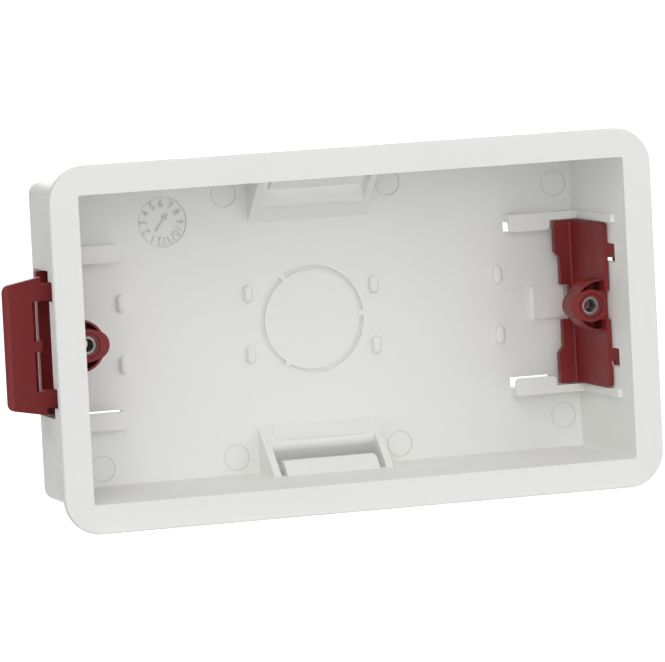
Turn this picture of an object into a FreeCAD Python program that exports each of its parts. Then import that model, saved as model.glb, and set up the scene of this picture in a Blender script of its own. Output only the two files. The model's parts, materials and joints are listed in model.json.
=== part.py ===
# Two-gang dry-lining box with two sliding clamp lugs, in millimetres.
# X runs along the box, Y into the wall and Z up. The open side faces -Y.
# The origin is the centre of the box, in the plane of the plasterboard's face,
# which is also the plane of the rear face of the flange.
import FreeCAD, Part
import math
import os
from FreeCAD import Vector

# Flange
flange_length = 142.8
flange_height = 82.2
flange_thickness = 1.6
flange_corner_radius = 8.5
flange_edge_round = 0.5

# Body
rim_width_x = 6.7
rim_width_z = 6.6
box_depth = 35.0
wall_thickness = 2.0
back_thickness = 2.0
wall_draft = 0.45
inner_corner_radius = 0.6
rear_edge_round = 1.6

# Screws that hold the accessory
screw_from_opening = 4.4

# Pattern of the back wall, which sits a little off the centre
pattern_x = -0.55
pattern_z = 0.2

# Knock-out in the back wall
knockout_radius = 12.5
knockout_groove_width = 1.1
knockout_groove_depth = 0.8
knockout_web_width = 1.2
knockout_web_angles = (3.0, 123.0, 237.0)

# Rounded stud-like bumps on the back wall
bump_width = 2.2
bump_length = 4.2
bump_height = 1.2
bump_round = 0.8
bump_spacing_x = 30.4
bump_columns = 4
bump_spacing_z = 14.0

# Shallow round marks that the mould leaves
mark_radius = 3.0
mark_depth = 0.15
mark_places = (
    (-20.3, 30.3),
    (19.3, 30.3),
    (59.9, 27.3),
    (-52.4, -30.1),
    (-20.3, -30.1),
    (19.3, -30.1),
    (59.9, -26.7),
)

# Date dial
dial_radius = 5.8
dial_depth = 0.25
dial_x = -35.2
dial_z = 25.0

# Rails that guide a lug, mirrored to all four corners
rail_gap = 38.4
rail_thickness = 1.8
rail_height = 4.3
rail_front_depth = 7.0
side_rail_height = 0.65
lip_from_opening = 17.6
lip_length = 9.9
lip_thickness = 1.2
lip_reach = 2.2
lip_corner_radius = 1.0
lip_hole_clearance = 0.05

# Pad that keys a lug
pad_from_opening = 11.2
pad_length = 7.3
pad_height = 7.4
pad_thickness = 1.2

# Side window and slots
window_height = 33.4
window_front_depth = 21.3
slot_front_depth = 7.6

# Cable entries in the top and bottom walls
entry_inner_width = 25.35
fin_thickness = 1.7
fin_top_below_edge = 11.2
fin_reach = 10.9
flap_thickness = 1.4
flap_gap = 1.5
flap_corner_radius = 0.7
back_flap_length_z = 3.3
back_flap_lift = 0.2
wall_flap_length_z = 3.05
ridge_crest_below_apex = 4.3
ridge_end_below_apex = 9.2
ridge_round = 2.2

# Clamp lug
lug_height = 37.6
lug_wall_clearance = 0.25
lug_front_depth = 11.3
lug_front_thickness = 1.05
lug_root_thickness = 2.05
lug_back_thickness = 1.8
lug_back_clearance = 2.8
lug_corner_radius = 1.0
lug_bend_radius = 0.5
ear_clearance = 0.95
ear_height = 7.0
ear_chamfer = 1.5
web_recess = 1.15
key_clearance = 0.35
sill_reach = 3.05
sill_clearance = 0.5

# Boss on the lug
boss_radius = 6.0
boss_wall = 0.5
boss_offset = 2.0
boss_front_depth = 12.9
boss_length = 5.6
boss_floor = 1.0
boss_core_radius = 3.75
boss_core_height = 6.6
nose_radius = 3.2
nose_offset = 1.8
collar_radius = 2.85
collar_width = 0.3
collar_groove = 0.3

# Threaded insert
thread_radius = 1.5
insert_radius = 2.3
insert_recess = 0.8
screw_hole_radius = 2.1

# Clamp wing
wing_front_depth = 20.2
wing_thickness = 1.8
wing_root_height = 31.2
wing_tip_height = 27.8
wing_reach = 10.8
wing_clearance = 1.8
wing_corner_radius = 1.8
wing_tip_radius = 2.0
wing_tip_turn = 55.0
notch_reach = 4.05
notch_slope = 1.2
arm_height = 3.8
arm_centre_z = 12.05
arm_depth = 5.0
arm_round = 0.6
slot_clearance = 0.3
tab_height = 2.5
tab_reach = 1.85

# Derived planes and half sizes
front_y = -flange_thickness
rear_y = front_y + box_depth
floor_y = rear_y - back_thickness
cavity_depth = floor_y - front_y
half_opening_x = flange_length / 2 - rim_width_x
half_opening_z = flange_height / 2 - rim_width_z
screw_x = half_opening_x - screw_from_opening
lip_inner_x = half_opening_x - lip_from_opening
pad_inner_x = half_opening_x - pad_from_opening
ear_x = lip_inner_x + lip_length + ear_clearance
lug_rear_depth = box_depth - back_thickness - lug_back_clearance

# Small lengths that keep joined shapes overlapping and cutters standing clear
overlap = 0.5
beyond = 1.0
tiny = 1e-3


def depth_to_y(depth):
    """Y of a plane that lies this far behind the flange's front face."""
    return front_y + depth


def draft_at(y):
    """How far the walls have drawn in at this Y."""
    return wall_draft * (y - front_y) / cavity_depth


def inner_x(y):
    return half_opening_x - draft_at(y)


def inner_z(y):
    return half_opening_z - draft_at(y)


def box(x0, x1, y0, y1, z0, z1):
    low_x, low_y, low_z = min(x0, x1), min(y0, y1), min(z0, z1)
    size = (abs(x1 - x0), abs(y1 - y0), abs(z1 - z0))
    return Part.makeBox(*size, Vector(low_x, low_y, low_z))


def rod(x, z, radius, y0, y1):
    """Cylinder along Y."""
    return Part.makeCylinder(radius, y1 - y0, Vector(x, y0, z), Vector(0, 1, 0))


def slot_prism(x, z, width, length, y0, y1):
    """Upright prism with half-round ends."""
    radius = width / 2
    straight = (length - width) / 2
    middle = box(x - radius, x + radius, y0, y1, z - straight, z + straight)
    ends = [rod(x, z + sign * straight, radius, y0, y1) for sign in (1, -1)]
    return middle.fuse(ends).removeSplitter()


def mirror_x(shape):
    return shape.mirror(Vector(0, 0, 0), Vector(1, 0, 0))


def mirror_z(shape):
    return shape.mirror(Vector(0, 0, 0), Vector(0, 0, 1))


def with_mirrors(shape, flips):
    """The shape and its mirrored copies, as a list."""
    copies = [shape]
    for flip in flips:
        copies += [flip(item) for item in copies]
    return copies


def rounded_rectangle(half_x, half_z, radius, y):
    """Closed wire in the XZ plane with round corners."""
    corners = []
    for sign_x, sign_z, start in ((1, 1, 0), (-1, 1, 90), (-1, -1, 180), (1, -1, 270)):
        centre = Vector(sign_x * (half_x - radius), y, sign_z * (half_z - radius))
        arc_points = []
        for share in (0, 0.5, 1):
            turn = math.radians(start + share * 90)
            arc_points.append(centre + Vector(math.cos(turn), 0, math.sin(turn)) * radius)
        corners.append(arc_points)
    edges = []
    for index, arc_points in enumerate(corners):
        edges.append(Part.Arc(*arc_points).toShape())
        following = corners[(index + 1) % len(corners)][0]
        edges.append(Part.LineSegment(arc_points[2], following).toShape())
    return Part.Wire(edges)


def extruded(points, direction):
    """Solid from a closed outline of points, pushed along a vector."""
    vectors = [Vector(*point) for point in points]
    vectors.append(vectors[0])
    return Part.Face(Part.makePolygon(vectors)).extrude(direction)


def edges_along(shape, direction, keep):
    """Straight edges that run along a direction and pass a test on their middle."""
    found = []
    for edge in shape.Edges:
        ends = edge.Vertexes
        if len(ends) != 2:
            continue
        span = ends[1].Point - ends[0].Point
        if span.Length < tiny or abs(abs(span.normalize().dot(direction)) - 1) > tiny:
            continue
        if keep((ends[0].Point + ends[1].Point) / 2):
            found.append(edge)
    return found


def edges_in_front(shape, y):
    """Edges that lie wholly in the plane at this Y."""
    return [edge for edge in shape.Edges if edge.BoundBox.YMax < y + tiny]


def drafted_block(half_x, half_z, radius, y0, y1):
    """Block whose walls draw in with the draft between two planes."""
    sections = []
    for y in (y0, y1):
        shift = draft_at(y)
        sections.append(rounded_rectangle(half_x - shift, half_z - shift, radius, y))
    return Part.makeLoft(sections, True, True)


def make_shell():
    """Flange and tray, whose rounded rear end keeps a constant section."""
    outer_radius = inner_corner_radius + wall_thickness
    outer_x = half_opening_x + wall_thickness
    outer_z = half_opening_z + wall_thickness
    tray = drafted_block(outer_x, outer_z, outer_radius, front_y, floor_y)
    shift = draft_at(floor_y)
    outline = rounded_rectangle(outer_x - shift, outer_z - shift, outer_radius, floor_y)
    rear_end = Part.Face(outline).extrude(Vector(0, back_thickness, 0))
    rear_edges = [edge for edge in rear_end.Edges if edge.BoundBox.YMin > rear_y - tiny]
    tray = tray.fuse(rear_end.makeFillet(rear_edge_round, rear_edges))
    outline = rounded_rectangle(flange_length / 2, flange_height / 2, flange_corner_radius, front_y)
    flange = Part.Face(outline).extrude(Vector(0, flange_thickness, 0))
    flange = flange.makeFillet(flange_edge_round, edges_in_front(flange, front_y))
    cavity = drafted_block(half_opening_x, half_opening_z, inner_corner_radius, front_y, floor_y)
    lead_in = box(-half_opening_x, half_opening_x, front_y - beyond, front_y,
                  -half_opening_z, half_opening_z)
    return tray.fuse(flange).cut(cavity).cut(lead_in)


def make_knockout_groove():
    """Ring that weakens the back wall, less its webs."""
    depth_y = floor_y + knockout_groove_depth
    inner_radius = knockout_radius - knockout_groove_width
    ring = rod(pattern_x, pattern_z, knockout_radius, floor_y - overlap, depth_y)
    ring = ring.cut(rod(pattern_x, pattern_z, inner_radius, floor_y - overlap, depth_y))
    for angle in knockout_web_angles:
        web = box(0, knockout_radius + beyond, floor_y - beyond, depth_y + beyond,
                  -knockout_web_width / 2, knockout_web_width / 2)
        web.rotate(Vector(0, 0, 0), Vector(0, -1, 0), angle)
        web.translate(Vector(pattern_x, 0, pattern_z))
        ring = ring.cut(web)
    return ring


def make_bumps():
    """Rounded upright bumps in two rows."""
    first_x = pattern_x - bump_spacing_x * (bump_columns - 1) / 2
    top_y = floor_y - bump_height
    bumps = []
    for column in range(bump_columns):
        for sign in (1, -1):
            bump = slot_prism(first_x + column * bump_spacing_x, pattern_z + sign * bump_spacing_z / 2,
                              bump_width, bump_length, top_y, floor_y + overlap)
            bumps.append(bump.makeFillet(bump_round, edges_in_front(bump, top_y)))
    return bumps


def make_floor_marks():
    """Mould marks and the recess of the date dial."""
    cuts = [rod(x, z, mark_radius, floor_y - overlap, floor_y + mark_depth) for x, z in mark_places]
    cuts.append(rod(dial_x, dial_z, dial_radius, floor_y - overlap, floor_y + dial_depth))
    return cuts


def make_rail():
    """One L-shaped rail with its lip, at +X and +Z."""
    low_z = rail_gap / 2
    high_z = low_z + rail_thickness
    lip_outer_x = lip_inner_x + lip_length
    top_y = floor_y - rail_height
    wall_x = inner_x(floor_y) + overlap
    floor_rail = box(lip_inner_x, wall_x, top_y, floor_y + overlap, low_z, high_z)
    side_rail = box(inner_x(floor_y) - side_rail_height, wall_x,
                    depth_to_y(rail_front_depth), floor_y + overlap, low_z, high_z)
    lip = box(lip_inner_x, lip_outer_x, top_y, top_y + lip_thickness, low_z - lip_reach, high_z)
    free_corners = edges_along(lip, Vector(0, 1, 0), lambda middle: middle.z < low_z)
    lip = lip.makeFillet(lip_corner_radius, free_corners)
    return floor_rail.fuse([side_rail, lip])


def make_lip_hole():
    """Hole in the back wall that the lip was moulded through."""
    low_z = rail_gap / 2
    return box(lip_inner_x, lip_inner_x + lip_length, floor_y - overlap, rear_y + overlap,
               low_z - lip_reach - lip_hole_clearance, low_z)


def make_pad():
    """Key on the back wall under a lug."""
    return box(pad_inner_x, pad_inner_x + pad_length, floor_y - pad_thickness, floor_y + overlap,
               -pad_height / 2, pad_height / 2)


def make_side_cuts():
    """Window and two slots through the +X wall."""
    inside = inner_x(floor_y) - overlap
    outside = half_opening_x + wall_thickness + beyond
    half_height = window_height / 2
    window_y = depth_to_y(window_front_depth)
    cuts = [box(inside, outside, window_y, floor_y, -half_height, half_height)]
    slot_half = arm_height / 2 + slot_clearance
    for sign in (1, -1):
        centre = sign * arm_centre_z
        cuts.append(box(inside, outside, depth_to_y(slot_front_depth), window_y + overlap,
                        centre - slot_half, centre + slot_half))
    return cuts


def entry_apex_z():
    """Height at which the bottom entry's slope meets the back wall."""
    return -half_opening_z + fin_top_below_edge


def slope_y(z):
    """Y of the front of the bottom entry's slope at this height."""
    return floor_y - fin_reach * (entry_apex_z() - z) / fin_top_below_edge


def slope_thickness_y():
    """Thickness of a sloping flap measured along Y."""
    return flap_thickness / math.cos(math.atan2(fin_reach, fin_top_below_edge))


def make_ridge():
    """Ridge between the fins, sloping out of the back wall and rounding back into it."""
    half_width = entry_inner_width / 2 + overlap
    apex_z = entry_apex_z()
    crest_z = apex_z - ridge_crest_below_apex
    end_z = apex_z - ridge_end_below_apex
    start_x = pattern_x - half_width
    outline = [(start_x, floor_y + overlap, apex_z), (start_x, floor_y, apex_z),
               (start_x, slope_y(crest_z), crest_z), (start_x, floor_y, end_z),
               (start_x, floor_y + overlap, end_z)]
    ridge = extruded(outline, Vector(2 * half_width, 0, 0))
    crest = edges_along(ridge, Vector(1, 0, 0), lambda middle: abs(middle.z - crest_z) < tiny)
    return ridge.makeFillet(ridge_round, crest)


def make_flap(low_z, high_z, free_z, lift):
    """Slab on the slope of the bottom entry, with round corners on its free edge."""
    half_width = entry_inner_width / 2 - flap_gap
    shift = slope_thickness_y()
    points = [(pattern_x - half_width, slope_y(high_z) - lift, high_z),
              (pattern_x - half_width, slope_y(low_z) - lift, low_z),
              (pattern_x - half_width, slope_y(low_z) + shift, low_z),
              (pattern_x - half_width, slope_y(high_z) + shift, high_z)]
    flap = extruded(points, Vector(2 * half_width, 0, 0))
    corners = edges_along(flap, Vector(0, 1, 0), lambda middle: abs(middle.z - free_z) < tiny)
    return flap.makeFillet(flap_corner_radius, corners)


def make_entry():
    """Two fins, the ridge between them with its flap, and the flap on the bottom wall."""
    half_width = entry_inner_width / 2
    apex_z = entry_apex_z()
    sunk_z = -half_opening_z - overlap
    fins = []
    for start_x in (pattern_x + half_width, pattern_x - half_width - fin_thickness):
        outline = [(start_x, floor_y + overlap, apex_z),
                   (start_x, slope_y(apex_z), apex_z),
                   (start_x, slope_y(sunk_z), sunk_z),
                   (start_x, floor_y + overlap, sunk_z)]
        fins.append(extruded(outline, Vector(fin_thickness, 0, 0)))
    back_flap_z = apex_z - back_flap_length_z
    wall_flap_z = -inner_z(floor_y) + wall_flap_length_z
    return fins + [make_ridge(), make_flap(back_flap_z, apex_z, back_flap_z, back_flap_lift),
                   make_flap(sunk_z, wall_flap_z, wall_flap_z, 0)]


def make_entry_hole():
    """Mouth of the bottom cable entry, through the bottom wall behind the flap."""
    front = slope_y(-inner_z(floor_y)) + slope_thickness_y()
    half_width = entry_inner_width / 2
    outside = -half_opening_z - wall_thickness - beyond
    return box(pattern_x - half_width, pattern_x + half_width, front, floor_y,
               outside, -inner_z(floor_y) + overlap)


def make_back_box():
    """The whole white moulding as one solid."""
    solid = make_shell()
    additions = with_mirrors(make_rail(), [mirror_x, mirror_z])
    additions += with_mirrors(make_pad(), [mirror_x])
    entry = make_entry()
    additions += entry + [mirror_z(piece) for piece in entry]
    solid = solid.fuse(additions + make_bumps())
    cuts = [make_knockout_groove()] + make_floor_marks()
    cuts += with_mirrors(make_lip_hole(), [mirror_x, mirror_z])
    side_cuts = make_side_cuts()
    cuts += side_cuts + [mirror_x(cut) for cut in side_cuts]
    cuts += with_mirrors(make_entry_hole(), [mirror_z])
    return solid.cut(cuts).removeSplitter()


def lug_outer_x(y):
    """Outer face of the lug's long leg, clear of the drafted wall."""
    return inner_x(y) - lug_wall_clearance


def make_lug_legs():
    """L-shaped plate: a tapered leg on the side wall and one above the back wall."""
    front = depth_to_y(lug_front_depth)
    rear = depth_to_y(lug_rear_depth)
    back_face = rear - lug_back_thickness
    front_x = lug_outer_x(front) - lug_front_thickness
    root_x = lug_outer_x(rear) - lug_root_thickness
    half = lug_height / 2
    outline = [(ear_x, rear, -half), (lug_outer_x(rear), rear, -half),
               (lug_outer_x(front), front, -half), (front_x, front, -half),
               (root_x, back_face, -half), (ear_x, back_face, -half)]
    plate = extruded(outline, Vector(0, 0, lug_height))
    bends = edges_along(plate, Vector(0, 0, 1),
                        lambda middle: middle.x > ear_x + beyond and middle.y > front + beyond)
    plate = plate.makeFillet(lug_bend_radius, bends)
    front_corners = edges_along(plate, Vector(1, 0, 0), lambda middle: middle.y < front + tiny)
    plate = plate.makeFillet(lug_corner_radius, front_corners)
    sill_half = window_height / 2 - sill_clearance
    sill = box(root_x, lug_outer_x(rear) + sill_reach, back_face, rear, -sill_half, sill_half)
    return plate.fuse(sill)


def make_ear_cuts():
    """Set-back of the rear leg between its two ears, with sloped shoulders, and the key's notch."""
    rear = depth_to_y(lug_rear_depth)
    base_z = lug_height / 2 - ear_height
    top_z = base_z - ear_chamfer
    deep_x = ear_x + web_recess
    y0 = rear - lug_back_thickness - overlap
    outline = [(ear_x - beyond, y0, base_z), (ear_x, y0, base_z), (deep_x, y0, top_z),
               (deep_x, y0, -top_z), (ear_x, y0, -base_z), (ear_x - beyond, y0, -base_z)]
    recess = extruded(outline, Vector(0, lug_back_thickness + 2 * overlap, 0))
    key_half = pad_height / 2 + key_clearance
    key = box(ear_x - beyond, pad_inner_x + pad_length + key_clearance, y0, rear + overlap,
              -key_half, key_half)
    return [recess, key]


def make_boss():
    """Thin half-round shell round a core that holds the insert, with open pockets between."""
    front = depth_to_y(boss_front_depth)
    rear = front + boss_length
    centre_x = screw_x + boss_offset
    leg_x = lug_outer_x(front) - lug_front_thickness / 2
    shell = rod(centre_x, 0, boss_radius, front, rear)
    shell = shell.fuse(box(centre_x, leg_x, front, rear, -boss_radius, boss_radius))
    pocket_radius = boss_radius - boss_wall
    pocket_rear = rear - boss_floor
    pocket = rod(centre_x, 0, pocket_radius, front - overlap, pocket_rear)
    pocket = pocket.fuse(box(centre_x, leg_x + boss_radius, front - overlap, pocket_rear,
                             -pocket_radius, pocket_radius))
    core = rod(screw_x, 0, boss_core_radius, front, rear)
    to_leg = box(screw_x, leg_x, front, rear, -boss_core_height / 2, boss_core_height / 2)
    outside = box(leg_x, leg_x + boss_radius, front - beyond, rear + beyond,
                  -boss_radius - beyond, boss_radius + beyond)
    return shell.cut(pocket).fuse([core, to_leg] + make_nose(front, rear)).cut(outside)


def make_nose(front, rear):
    """Smaller rod beside the core and the wedge that joins both along their common tangents."""
    nose_x = screw_x - nose_offset
    lean = (boss_core_radius - nose_radius) / nose_offset
    rise = math.sqrt(1 - lean * lean)
    outline = [(screw_x - boss_core_radius * lean, front, boss_core_radius * rise),
               (nose_x - nose_radius * lean, front, nose_radius * rise),
               (nose_x - nose_radius * lean, front, -nose_radius * rise),
               (screw_x - boss_core_radius * lean, front, -boss_core_radius * rise)]
    return [rod(nose_x, 0, nose_radius, front, rear), extruded(outline, Vector(0, rear - front, 0))]


def make_boss_cuts():
    """Screw hole, seat of the insert, groove round the collar and the leg's step beside the core."""
    front = depth_to_y(boss_front_depth)
    rear = front + boss_length
    screw_hole = rod(screw_x, 0, screw_hole_radius, front - overlap, rear + overlap)
    seat = rod(screw_x, 0, insert_radius, front + insert_recess, rear + overlap)
    groove = rod(screw_x, 0, collar_radius, front - overlap, front + collar_groove)
    groove = groove.cut(rod(screw_x, 0, collar_radius - collar_width, front - beyond, front + beyond))
    step = box(screw_x, half_opening_x, depth_to_y(lug_front_depth) - overlap, front,
               -boss_core_height / 2, boss_core_height / 2)
    return [screw_hole, seat, groove, step]


def wing_curve(offset):
    """Start, middle and end of the rolled edge's arc, moved back by an offset."""
    tip_x = half_opening_x + wall_thickness + wing_reach
    turn = math.radians(wing_tip_turn)
    bend_x = tip_x - wing_tip_radius * math.sin(turn)
    radius = wing_tip_radius - offset
    centre_y = depth_to_y(wing_front_depth) + wing_tip_radius
    points = []
    for angle in (0, turn / 2, turn):
        points.append(Vector(bend_x + radius * math.sin(angle),
                             centre_y - radius * math.cos(angle), 0))
    return points


def make_wing_plate():
    """Gripping plate with a rolled outer edge, seen as a section and pushed along Z."""
    wall_x = half_opening_x + wall_thickness
    start_x = wall_x + wing_clearance
    front = depth_to_y(wing_front_depth)
    near = wing_curve(0)
    far = wing_curve(wing_thickness)
    near_start = Vector(start_x, front, 0)
    far_start = Vector(start_x, front + wing_thickness, 0)
    edges = [Part.LineSegment(near_start, near[0]).toShape(),
             Part.Arc(*near).toShape(),
             Part.LineSegment(near[2], far[2]).toShape(),
             Part.Arc(far[2], far[1], far[0]).toShape(),
             Part.LineSegment(far[0], far_start).toShape(),
             Part.LineSegment(far_start, near_start).toShape()]
    section = Part.Face(Part.Wire(edges))
    section.translate(Vector(0, 0, -wing_root_height / 2))
    plate = section.extrude(Vector(0, 0, wing_root_height))
    return plate.common(make_wing_outline(start_x, wall_x + wing_reach))


def make_wing_outline(start_x, tip_x):
    """Tapered outline of the wing seen from the front, with round outer corners."""
    root = wing_root_height / 2
    tip = wing_tip_height / 2
    y0 = depth_to_y(wing_front_depth) - beyond
    depth = wing_thickness + wing_tip_radius + 2 * beyond
    outline = [(start_x, y0, -root), (tip_x, y0, -tip), (tip_x, y0, tip), (start_x, y0, root)]
    solid = extruded(outline, Vector(0, depth, 0))
    corners = edges_along(solid, Vector(0, 1, 0), lambda middle: middle.x > tip_x - tiny)
    return solid.makeFillet(wing_corner_radius, corners)


def make_notch(notch_x):
    """Cutter for the wing's notch, whose outer side slopes towards the wall as it goes back."""
    front = depth_to_y(wing_front_depth)
    wall_x = half_opening_x + wall_thickness
    half = arm_centre_z - arm_height / 2
    rear = front + wing_thickness
    outline = [(wall_x, front, -half), (notch_x, front, -half),
               (notch_x - notch_slope, rear, -half), (wall_x, rear, -half)]
    return extruded(outline, Vector(0, 0, 2 * half))


def make_wing():
    """Wing plate, its notch beside the wall, the small tab in the notch and the two arms."""
    front = depth_to_y(wing_front_depth)
    notch_x = half_opening_x + wall_thickness + notch_reach
    plate = make_wing_plate().cut(make_notch(notch_x))
    tab = box(notch_x - tab_reach, notch_x + overlap, front, front + wing_thickness,
              -tab_height / 2, tab_height / 2)
    arm_x = lug_outer_x(front) - lug_front_thickness / 2
    pieces = [tab]
    for sign in (1, -1):
        centre = sign * arm_centre_z
        arm = box(arm_x, notch_x + overlap, front, front + arm_depth,
                  centre - arm_height / 2, centre + arm_height / 2)
        front_edges = edges_along(arm, Vector(1, 0, 0), lambda middle: middle.y < front + tiny)
        pieces.append(arm.makeFillet(arm_round, front_edges))
    return plate.fuse(pieces)


def make_right_lug():
    """The whole red moulding on the +X side as one solid."""
    solid = make_lug_legs().cut(make_ear_cuts())
    solid = solid.fuse([make_boss(), make_wing()])
    return solid.cut(make_boss_cuts()).removeSplitter()


def make_right_insert():
    """Threaded metal tube in the boss."""
    front = depth_to_y(boss_front_depth) + insert_recess
    rear = depth_to_y(boss_front_depth) + boss_length
    tube = rod(screw_x, 0, insert_radius, front, rear)
    return tube.cut(rod(screw_x, 0, thread_radius, front - beyond, rear + beyond))


def save(shape, name):
    solids = shape.Solids
    if len(solids) != 1 or not shape.isValid():
        print("check", name, len(solids), shape.isValid())
    solids[0].exportStep("parts/" + name + ".step")
    bounds = solids[0].BoundBox
    print(name, "volume %.1f" % solids[0].Volume, "X %.2f %.2f Y %.2f %.2f Z %.2f %.2f" % (
        bounds.XMin, bounds.XMax, bounds.YMin, bounds.YMax, bounds.ZMin, bounds.ZMax))


def main():
    os.makedirs("parts", exist_ok=True)
    right_lug = make_right_lug()
    right_insert = make_right_insert()
    save(make_back_box(), "back_box")
    save(right_lug, "right_lug")
    save(mirror_x(right_lug), "left_lug")
    save(right_insert, "right_thread_insert")
    save(mirror_x(right_insert), "left_thread_insert")


main()
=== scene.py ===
# Looks for the two-gang dry-lining box: materials, thread, date dial, mould lines, stage, light and camera.
# Everything is in metres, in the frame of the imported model.
import json
import math

import bmesh
import bpy
from mathutils import Matrix, Vector


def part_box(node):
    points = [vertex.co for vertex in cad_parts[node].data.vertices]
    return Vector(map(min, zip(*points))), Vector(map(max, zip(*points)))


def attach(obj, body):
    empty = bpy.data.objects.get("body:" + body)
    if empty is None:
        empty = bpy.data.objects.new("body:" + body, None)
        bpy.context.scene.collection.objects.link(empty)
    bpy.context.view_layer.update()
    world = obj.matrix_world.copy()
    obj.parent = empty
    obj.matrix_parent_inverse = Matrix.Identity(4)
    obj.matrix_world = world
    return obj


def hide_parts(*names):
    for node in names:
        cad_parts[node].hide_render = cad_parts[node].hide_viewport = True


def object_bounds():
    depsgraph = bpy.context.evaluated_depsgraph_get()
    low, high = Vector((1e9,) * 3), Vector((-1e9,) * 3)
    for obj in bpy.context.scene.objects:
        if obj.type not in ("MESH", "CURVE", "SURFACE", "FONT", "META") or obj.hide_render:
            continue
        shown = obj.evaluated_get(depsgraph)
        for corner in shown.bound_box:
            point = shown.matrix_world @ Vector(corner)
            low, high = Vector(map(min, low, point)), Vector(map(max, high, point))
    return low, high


MM = 0.001

# Camera, as fitted to the photo, with its sensor in mm
CAMERA_AZIMUTH = math.radians(-18.77)
CAMERA_ELEVATION = math.radians(4.90)
CAMERA_ROLL = math.radians(-2.89)
CAMERA_DISTANCE = 1.5005
CAMERA_AIM = Vector((-6.24, 0.51, -0.08)) * MM
SENSOR_WIDTH = 36.0
PHOTO_WIDTH = 665
FOCAL_PIXELS = 6682.0

# Date dial, which sits a little off the centre of its recess, as in the photo
DIAL_CENTRE = Vector((-35.4, 31.65, 24.95)) * MM
DIAL_NUMBERS = 12
DIAL_TOP_NUMBER = 6
DIAL_TURN = math.radians(1)
DIAL_NUMBER_RADIUS = 4.2 * MM
DIAL_NUMBER_SIZE = 2.35 * MM
DIAL_NUMBER_STRETCH = 1.15
DIAL_STROKE_TRIM = 0.03 * MM
DIAL_CURVE_STEPS = 4
DIAL_MARK_HEIGHT = 0.25 * MM
ARROW_TURN = math.radians(37)
ARROW_LENGTH = 4.9 * MM
ARROW_SHAFT_WIDTH = 0.45 * MM
ARROW_HEAD_LENGTH = 1.4 * MM
ARROW_HEAD_WIDTH = 1.6 * MM

# Fine raised line that the mould leaves in each round mark and round the dial. Places are X and Z in mm.
LINE_WIDTH = 0.13 * MM
LINE_HEIGHT = 0.03 * MM
LINE_STEPS = 96
BACK_FACE = 31.4 * MM
MARK_RADIUS = 3.0 * MM
MARK_FLOOR = 31.55 * MM
MARK_PLACES = ((-20.3, 30.3), (19.3, 30.3), (59.9, 27.3),
               (-52.4, -30.1), (-20.3, -30.1), (19.3, -30.1), (59.9, -26.7))
DIAL_RECESS_PLACE = (-35.2, 25.0)
DIAL_RECESS_RADIUS = 5.8 * MM

# Thread in the inserts, with the steps of its mesh round the bore and along one turn
THREAD_PITCH = 0.6 * MM
THREAD_DEPTH = 0.28 * MM
THREAD_STEPS = 48
THREAD_RISE_STEPS = 6
THREAD_EASE_ROWS = 4

# Angle under which the faces of a new mesh are shaded as one surface
SMOOTH_ANGLE = math.radians(35)

# Finishes: linear colours, other tints as shares of them, roughness, strength of grain, specular level
WHITE_COLOUR = (0.885, 0.892, 0.878)
WHITE_SECOND_SHARES = (0.985, 0.98, 0.965)
WHITE_ROUGHNESS = 0.42
WHITE_GRAIN = 0.35
WHITE_SHINE = 0.5
# Darker tints of the white for the raised dial marks and mould lines: painted shade for the shading at
# their sides and edges.
DIAL_PAINTED_SHADE_SHARES = (0.80, 0.80, 0.78)
DIAL_PAINTED_SHADE_SECOND_SHARES = (0.70, 0.70, 0.68)
DIAL_ROUGHNESS = 0.55
DIAL_SHINE = 0.4
RED_COLOUR = (0.215, 0.0190, 0.0200)
RED_SECOND_SHARES = (0.88, 0.86, 0.86)
RED_ROUGHNESS = 0.45
RED_GRAIN = 0.30
RED_SHINE = 0.38
METAL_COLOUR = (0.30, 0.29, 0.275)
METAL_SECOND_SHARES = (0.8, 0.8, 0.8)
METAL_ROUGHNESS = (0.30, 0.45)

# Patterns in the plastic: cells per metre, detail and height of relief
PATCH_SCALE = 38.0
PATCH_DETAIL = 4.0
RIPPLE_SCALE = 160.0
RIPPLE_HEIGHT = 0.12 * MM
RIPPLE_STRENGTH = 0.5
GRAIN_SCALE = 5200.0
GRAIN_HEIGHT = 0.03 * MM
FINE_DETAIL = 2.0
ROUGHNESS_DROP = 0.05
ROUGHNESS_RISE = 0.07
PLASTIC_IOR = 1.46

# Patterns in the metal
BLOTCH_SCALE = 900.0
BLOTCH_DETAIL = 3.0
SCRATCH_SCALE = 4200.0
SCRATCH_HEIGHT = 0.02 * MM
SCRATCH_STRENGTH = 0.4

# Range that most of a noise texture's values lie in
NOISE_LOW = 0.3
NOISE_HIGH = 0.7

# Stage, and each lamp's name, place and power in watts
PLAIN_WHITE = (1.0, 1.0, 1.0, 1.0)
FLOOR_COLOUR = (0.85, 0.85, 0.85, 1.0)
FLOOR_ROUGHNESS = 0.9
FLOOR_HALF = 3.0
FLOOR_GLOW = 0.8
WORLD_LIGHT = 0.19
WORLD_SEEN = 1.0
LAMP_SIZE = 1.4
LAMPS = (("front", (-0.7, -2.0, 0.3), 13.0),
         ("right", (1.4, -1.5, 0.6), 8.9),
         ("top", (0.0, -0.2, 2.0), 7.0),
         ("upper_left", (-0.8, -1.3, 1.5), 11.8),
         ("rear", (0.5, 2.0, 0.6), 8.5))


def new_material(name):
    material = bpy.data.materials.new(name)
    material.use_nodes = True
    nodes = material.node_tree.nodes
    return material, nodes, material.node_tree.links, nodes["Principled BSDF"]


def object_position(nodes):
    """Place in the object, so that patterns keep their real size."""
    return nodes.new("ShaderNodeTexCoord").outputs["Object"]


def noise(nodes, links, position, scale, detail):
    texture = nodes.new("ShaderNodeTexNoise")
    texture.inputs["Scale"].default_value = scale
    texture.inputs["Detail"].default_value = detail
    links.new(position, texture.inputs["Vector"])
    return texture.outputs["Fac"]


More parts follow.
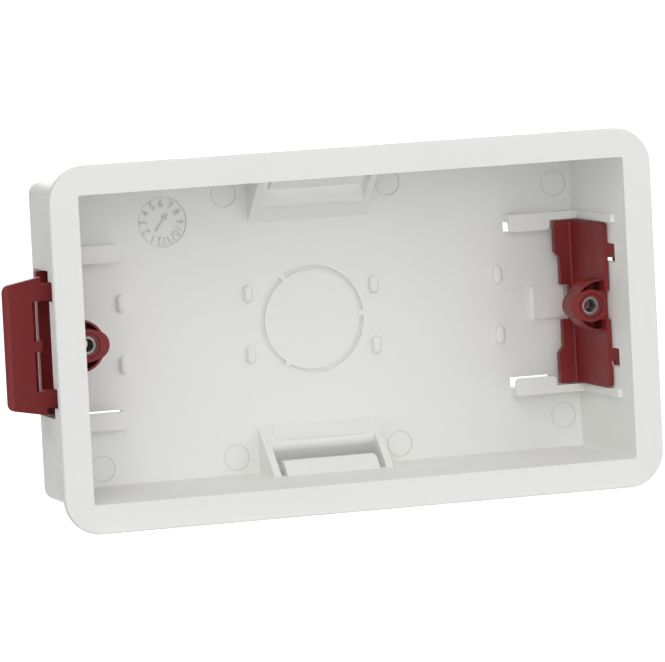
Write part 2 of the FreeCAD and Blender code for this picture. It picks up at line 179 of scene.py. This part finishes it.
def spread(nodes, links, value, low, high):
    """A noise value spread between two numbers."""
    mapped = nodes.new("ShaderNodeMapRange")
    mapped.inputs["From Min"].default_value = NOISE_LOW
    mapped.inputs["From Max"].default_value = NOISE_HIGH
    mapped.inputs["To Min"].default_value = low
    mapped.inputs["To Max"].default_value = high
    links.new(value, mapped.inputs["Value"])
    return mapped.outputs["Result"]


def tinted(nodes, links, value, first, second):
    """A colour that drifts between two close tints."""
    mix = nodes.new("ShaderNodeMix")
    mix.data_type = "RGBA"
    mix.inputs["A"].default_value = (*first, 1.0)
    mix.inputs["B"].default_value = (*second, 1.0)
    links.new(value, mix.inputs["Factor"])
    return mix.outputs["Result"]


def bumped(nodes, links, height, distance, strength, normal=None):
    """A surface normal with relief, on top of another normal if one is given."""
    bump = nodes.new("ShaderNodeBump")
    bump.inputs["Distance"].default_value = distance
    bump.inputs["Strength"].default_value = strength
    links.new(height, bump.inputs["Height"])
    if normal is not None:
        links.new(normal, bump.inputs["Normal"])
    return bump.outputs["Normal"]


def tint(colour, shares):
    """A colour with each channel scaled by its share."""
    return tuple(value * share for value, share in zip(colour, shares))


def moulded_plastic(name, colour, second_colour, roughness, grain_strength, shine):
    """Moulded plastic with a fine sparked grain, slow ripples and faint flow patches."""
    material, nodes, links, shader = new_material(name)
    position = object_position(nodes)
    patches = noise(nodes, links, position, PATCH_SCALE, PATCH_DETAIL)
    grain = noise(nodes, links, position, GRAIN_SCALE, FINE_DETAIL)
    ripple = noise(nodes, links, position, RIPPLE_SCALE, FINE_DETAIL)
    drift = spread(nodes, links, patches, 0.0, 1.0)
    links.new(tinted(nodes, links, drift, colour, second_colour), shader.inputs["Base Color"])
    uneven = spread(nodes, links, ripple, roughness - ROUGHNESS_DROP, roughness + ROUGHNESS_RISE)
    links.new(uneven, shader.inputs["Roughness"])
    slow = bumped(nodes, links, ripple, RIPPLE_HEIGHT, RIPPLE_STRENGTH)
    links.new(bumped(nodes, links, grain, GRAIN_HEIGHT, grain_strength, slow), shader.inputs["Normal"])
    shader.inputs["IOR"].default_value = PLASTIC_IOR
    shader.inputs["Specular IOR Level"].default_value = shine
    return material


def white_plastic():
    warm = tint(WHITE_COLOUR, WHITE_SECOND_SHARES)
    return moulded_plastic("white_plastic", WHITE_COLOUR, warm, WHITE_ROUGHNESS, WHITE_GRAIN, WHITE_SHINE)


def dial_plastic():
    """The same white, darker: painted shade on the raised dial marks and mould lines."""
    dull = tint(WHITE_COLOUR, DIAL_PAINTED_SHADE_SHARES)
    duller = tint(WHITE_COLOUR, DIAL_PAINTED_SHADE_SECOND_SHARES)
    return moulded_plastic("dial_plastic", dull, duller, DIAL_ROUGHNESS, WHITE_GRAIN, DIAL_SHINE)


def red_plastic():
    deep = tint(RED_COLOUR, RED_SECOND_SHARES)
    return moulded_plastic("red_plastic", RED_COLOUR, deep, RED_ROUGHNESS, RED_GRAIN, RED_SHINE)


def insert_metal():
    """Plated steel with faint blotches and fine scratches."""
    material, nodes, links, shader = new_material("insert_metal")
    position = object_position(nodes)
    blotches = noise(nodes, links, position, BLOTCH_SCALE, BLOTCH_DETAIL)
    scratches = noise(nodes, links, position, SCRATCH_SCALE, FINE_DETAIL)
    dull = tint(METAL_COLOUR, METAL_SECOND_SHARES)
    drift = spread(nodes, links, blotches, 0.0, 1.0)
    links.new(tinted(nodes, links, drift, METAL_COLOUR, dull), shader.inputs["Base Color"])
    links.new(spread(nodes, links, scratches, *METAL_ROUGHNESS), shader.inputs["Roughness"])
    relief = bumped(nodes, links, scratches, SCRATCH_HEIGHT, SCRATCH_STRENGTH)
    links.new(relief, shader.inputs["Normal"])
    shader.inputs["Metallic"].default_value = 1.0
    return material


def dress_nodes(frame, materials):
    """Finish of the CAD nodes, by the record's slots."""
    for entry in frame["record"]["subparts"]:
        node = frame["nodes"][entry["node"]]
        node.data.materials.clear()
        node.data.materials.append(materials[entry["material_slot"]])


def turn_angles(steps):
    """Equal angles round one full turn."""
    return [2 * math.pi * step / steps for step in range(steps)]


def round_point(centre, radius, angle, y):
    """Point at an angle and a radius about the line along Y through a centre."""
    return centre.x + radius * math.cos(angle), y, centre.z + radius * math.sin(angle)


def join_rings(mesh, first, second):
    """Faces between two rings of as many vertices."""
    for index in range(len(first)):
        following = (index + 1) % len(first)
        mesh.faces.new((first[index], first[following], second[following], second[index]))


def join_round(mesh, rings):
    """Closed skin through rings of vertices, the last joined to the first."""
    for first, second in zip(rings, rings[1:] + rings[:1]):
        join_rings(mesh, first, second)


def finished_mesh(name, mesh, material):
    """Object from a mesh, smooth but for its sharp edges."""
    data = bpy.data.meshes.new(name)
    mesh.to_mesh(data)
    mesh.free()
    data.materials.append(material)
    piece = bpy.data.objects.new(name, data)
    bpy.context.scene.collection.objects.link(piece)
    data.shade_smooth()
    data.set_sharp_from_angle(angle=SMOOTH_ANGLE)
    return piece


def closed_piece(name, mesh, material):
    """Object from a closed mesh, with its faces turned outwards."""
    bmesh.ops.recalc_face_normals(mesh, faces=mesh.faces)
    return finished_mesh(name, mesh, material)


def thread_ring(mesh, centre, bore_radius, low_y, y, ease):
    """Ring of the bore at one height, out in the groove of the helix."""
    ring = []
    for step, angle in enumerate(turn_angles(THREAD_STEPS)):
        phase = ((y - low_y) / THREAD_PITCH - step / THREAD_STEPS) % 1.0
        groove = 1.0 - abs(2.0 * phase - 1.0)
        radius = bore_radius + THREAD_DEPTH * groove * ease
        ring.append(mesh.verts.new(round_point(centre, radius, angle, y)))
    return ring


def threaded_tube(name, centre, low_y, high_y, outer_radius, bore_radius, material):
    """Metal tube along Y with a helical thread inside, which fades out at both ends."""
    mesh = bmesh.new()
    length = high_y - low_y
    rows = int(length / THREAD_PITCH * THREAD_RISE_STEPS) + 1
    rings = []
    for row in range(rows + 1):
        ease = min(1.0, row / THREAD_EASE_ROWS, (rows - row) / THREAD_EASE_ROWS)
        rings.append(thread_ring(mesh, centre, bore_radius, low_y, low_y + length * row / rows, ease))
    for y in (high_y, low_y):
        rings.append([mesh.verts.new(round_point(centre, outer_radius, angle, y))
                      for angle in turn_angles(THREAD_STEPS)])
    join_round(mesh, rings)
    return closed_piece(name, mesh, material)


def thread_inserts(frame, materials):
    """Inserts with their real thread, in place of the smooth tubes."""
    bore_radius = next(mount["dims"]["r_mm"] for mount in frame["record"]["mounts"]
                       if mount["name"] == "right_screw") * MM
    for side in ("left", "right"):
        node = side + "_thread_insert"
        low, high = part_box(node)
        centre = (low + high) / 2
        outer_radius = (high.x - low.x) / 2
        tube = threaded_tube(side + "_insert_thread", centre, low.y, high.y, outer_radius, bore_radius,
                             materials["insert_metal"])
        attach(tube, side + "_lug")
        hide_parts(node)


def as_mesh(piece, material):
    """The text object as a mesh in place."""
    bpy.context.view_layer.update()
    evaluated = piece.evaluated_get(bpy.context.evaluated_depsgraph_get())
    data = bpy.data.meshes.new_from_object(evaluated)
    data.transform(piece.matrix_world)
    name = piece.name
    bpy.data.objects.remove(piece)
    data.materials.clear()
    data.materials.append(material)
    mesh = bpy.data.objects.new(name, data)
    bpy.context.scene.collection.objects.link(mesh)
    return mesh


def dial_number(number, material):
    """One raised number on the dial, upright towards the rim."""
    name = "dial_number_%d" % number
    curve = bpy.data.curves.new(name, "FONT")
    curve.body = str(number)
    curve.size = DIAL_NUMBER_SIZE
    curve.align_x = "CENTER"
    curve.align_y = "CENTER"
    curve.extrude = DIAL_MARK_HEIGHT / 2
    curve.offset = -DIAL_STROKE_TRIM
    curve.resolution_u = DIAL_CURVE_STEPS
    piece = bpy.data.objects.new(name, curve)
    bpy.context.scene.collection.objects.link(piece)
    angle = 2 * math.pi * (number - DIAL_TOP_NUMBER) / DIAL_NUMBERS + DIAL_TURN
    outward = Vector((math.sin(angle), 0, math.cos(angle)))
    place = DIAL_CENTRE + outward * DIAL_NUMBER_RADIUS - Vector((0, DIAL_MARK_HEIGHT / 2, 0))
    facing = Matrix.Rotation(angle, 4, "Y") @ Matrix.Rotation(math.radians(90), 4, "X")
    stretch = Matrix.Diagonal((1.0, DIAL_NUMBER_STRETCH, 1.0, 1.0))
    piece.matrix_world = Matrix.Translation(place) @ facing @ stretch
    return as_mesh(piece, material)


def dial_arrow(material):
    """Raised arrow across the middle of the dial."""
    shaft = ARROW_SHAFT_WIDTH / 2
    head = ARROW_HEAD_WIDTH / 2
    tip = ARROW_LENGTH / 2
    neck = tip - ARROW_HEAD_LENGTH
    outline = [(-shaft, -tip), (shaft, -tip), (shaft, neck), (head, neck), (0, tip),
               (-head, neck), (-shaft, neck)]
    turn = Matrix.Rotation(ARROW_TURN, 4, "Y")
    mesh = bmesh.new()
    layers = []
    for height in (DIAL_MARK_HEIGHT, 0):
        points = [DIAL_CENTRE + turn @ Vector((x, -height, z)) for x, z in outline]
        layers.append([mesh.verts.new(point) for point in points])
    front, rear = layers
    mesh.faces.new(front)
    mesh.faces.new(reversed(rear))
    join_rings(mesh, front, rear)
    return closed_piece("dial_arrow", mesh, material)


def date_dial(material):
    """Arrow and the twelve numbers, which run clockwise."""
    marks = [dial_arrow(material)]
    for number in range(1, DIAL_NUMBERS + 1):
        marks.append(dial_number(number, material))
    for mark in marks:
        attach(mark, "back_box")


def mould_line(name, place, radius, floor, material):
    """Thin ring inside the wall of a round recess in the back."""
    centre = Vector((place[0], 0, place[1])) * MM
    crest = BACK_FACE - LINE_HEIGHT
    inner = radius - LINE_WIDTH
    profile = [(radius, floor), (radius, crest), (inner, crest), (inner, floor)]
    mesh = bmesh.new()
    rings = []
    for angle in turn_angles(LINE_STEPS):
        rings.append([mesh.verts.new(round_point(centre, reach, angle, y)) for reach, y in profile])
    join_round(mesh, rings)
    line = closed_piece(name, mesh, material)
    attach(line, "back_box")


def mould_lines(material):
    """A line round each round mark and round the dial, coloured with painted shade."""
    for number, place in enumerate(MARK_PLACES, 1):
        mould_line("mould_line_%d" % number, place, MARK_RADIUS, MARK_FLOOR, material)
    mould_line("mould_line_dial", DIAL_RECESS_PLACE, DIAL_RECESS_RADIUS, DIAL_CENTRE.y, material)


def ray_that_sees_white(nodes, links):
    """A value of 1 for camera, glossy and transmission rays, and 0 for the light on the object."""
    path = nodes.new("ShaderNodeLightPath")
    seen = path.outputs["Is Camera Ray"]
    for ray in ("Is Glossy Ray", "Is Transmission Ray"):
        either = nodes.new("ShaderNodeMath")
        either.operation = "MAXIMUM"
        links.new(seen, either.inputs[0])
        links.new(path.outputs[ray], either.inputs[1])
        seen = either.outputs["Value"]
    return seen


def floor_material():
    """Pale floor that looks white to the camera and still takes a soft shadow."""
    material, nodes, links, shader = new_material("floor")
    shader.inputs["Base Color"].default_value = FLOOR_COLOUR
    shader.inputs["Roughness"].default_value = FLOOR_ROUGHNESS
    strength = nodes.new("ShaderNodeMath")
    strength.operation = "MULTIPLY"
    strength.inputs[1].default_value = FLOOR_GLOW
    links.new(ray_that_sees_white(nodes, links), strength.inputs[0])
    glow = nodes.new("ShaderNodeEmission")
    links.new(strength.outputs["Value"], glow.inputs["Strength"])
    both = nodes.new("ShaderNodeAddShader")
    links.new(shader.outputs["BSDF"], both.inputs[0])
    links.new(glow.outputs["Emission"], both.inputs[1])
    links.new(both.outputs["Shader"], nodes["Material Output"].inputs["Surface"])
    return material


def build_floor(level):
    """Square floor under the object's lowest point."""
    mesh = bmesh.new()
    corners = []
    for sign_x, sign_y in ((-1, -1), (1, -1), (1, 1), (-1, 1)):
        corners.append(mesh.verts.new((sign_x * FLOOR_HALF, sign_y * FLOOR_HALF, level)))
    mesh.faces.new(corners)
    floor = finished_mesh("floor", mesh, floor_material())


def build_world():
    """Plain light all round, seen as white."""
    world = bpy.data.worlds.new("studio")
    bpy.context.scene.world = world
    world.use_nodes = True
    nodes = world.node_tree.nodes
    links = world.node_tree.links
    light = nodes["Background"]
    backdrop = nodes.new("ShaderNodeBackground")
    for background, strength in ((light, WORLD_LIGHT), (backdrop, WORLD_SEEN)):
        background.inputs["Color"].default_value = PLAIN_WHITE
        background.inputs["Strength"].default_value = strength
    mix = nodes.new("ShaderNodeMixShader")
    links.new(ray_that_sees_white(nodes, links), mix.inputs["Fac"])
    links.new(light.outputs["Background"], mix.inputs[1])
    links.new(backdrop.outputs["Background"], mix.inputs[2])
    links.new(mix.outputs["Shader"], nodes["World Output"].inputs["Surface"])


def build_lights():
    """Soft lamps that face the box."""
    for name, place, power in LAMPS:
        light = bpy.data.lights.new(name, "AREA")
        light.shape = "SQUARE"
        light.size = LAMP_SIZE
        light.energy = power
        lamp = bpy.data.objects.new(name, light)
        lamp.location = place
        lamp.rotation_euler = (-Vector(place)).to_track_quat("-Z", "Y").to_euler()
        bpy.context.scene.collection.objects.link(lamp)


def build_camera():
    """Camera at the photo's angle, by azimuth, elevation and roll."""
    forward = Vector((-math.sin(CAMERA_AZIMUTH) * math.cos(CAMERA_ELEVATION),
                      math.cos(CAMERA_AZIMUTH) * math.cos(CAMERA_ELEVATION),
                      -math.sin(CAMERA_ELEVATION)))
    level_right = Vector((math.cos(CAMERA_AZIMUTH), math.sin(CAMERA_AZIMUTH), 0))
    level_up = level_right.cross(forward)
    right = level_right * math.cos(CAMERA_ROLL) + level_up * math.sin(CAMERA_ROLL)
    up = level_up * math.cos(CAMERA_ROLL) - level_right * math.sin(CAMERA_ROLL)
    data = bpy.data.cameras.new("camera")
    data.sensor_width = SENSOR_WIDTH
    data.sensor_fit = "HORIZONTAL"
    data.lens = FOCAL_PIXELS / PHOTO_WIDTH * SENSOR_WIDTH
    camera = bpy.data.objects.new("camera", data)
    rotation = Matrix((right, up, -forward)).transposed()
    place = CAMERA_AIM - forward * CAMERA_DISTANCE
    camera.matrix_world = Matrix.Translation(place) @ rotation.to_4x4()
    bpy.context.scene.collection.objects.link(camera)
    bpy.context.scene.camera = camera


with open("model.json") as file:
    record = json.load(file)
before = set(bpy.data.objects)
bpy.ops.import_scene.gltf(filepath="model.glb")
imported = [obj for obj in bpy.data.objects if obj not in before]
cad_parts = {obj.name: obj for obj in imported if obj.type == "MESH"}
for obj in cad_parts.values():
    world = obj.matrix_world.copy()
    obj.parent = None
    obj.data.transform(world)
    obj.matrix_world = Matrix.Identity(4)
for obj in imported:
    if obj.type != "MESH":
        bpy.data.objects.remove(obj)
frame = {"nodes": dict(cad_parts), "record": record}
cad_box = [list(corner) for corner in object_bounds()]
bpy.context.scene.view_settings.view_transform = "Standard"
materials = {"white_plastic": white_plastic(), "red_plastic": red_plastic(),
             "insert_metal": insert_metal()}
dress_nodes(frame, materials)
thread_inserts(frame, materials)
# Darker white with painted shade, for the dial marks and mould lines.
painted_shade_white = dial_plastic()
date_dial(painted_shade_white)
mould_lines(painted_shade_white)
build_floor(cad_box[0][2])
build_world()
build_lights()
build_camera()
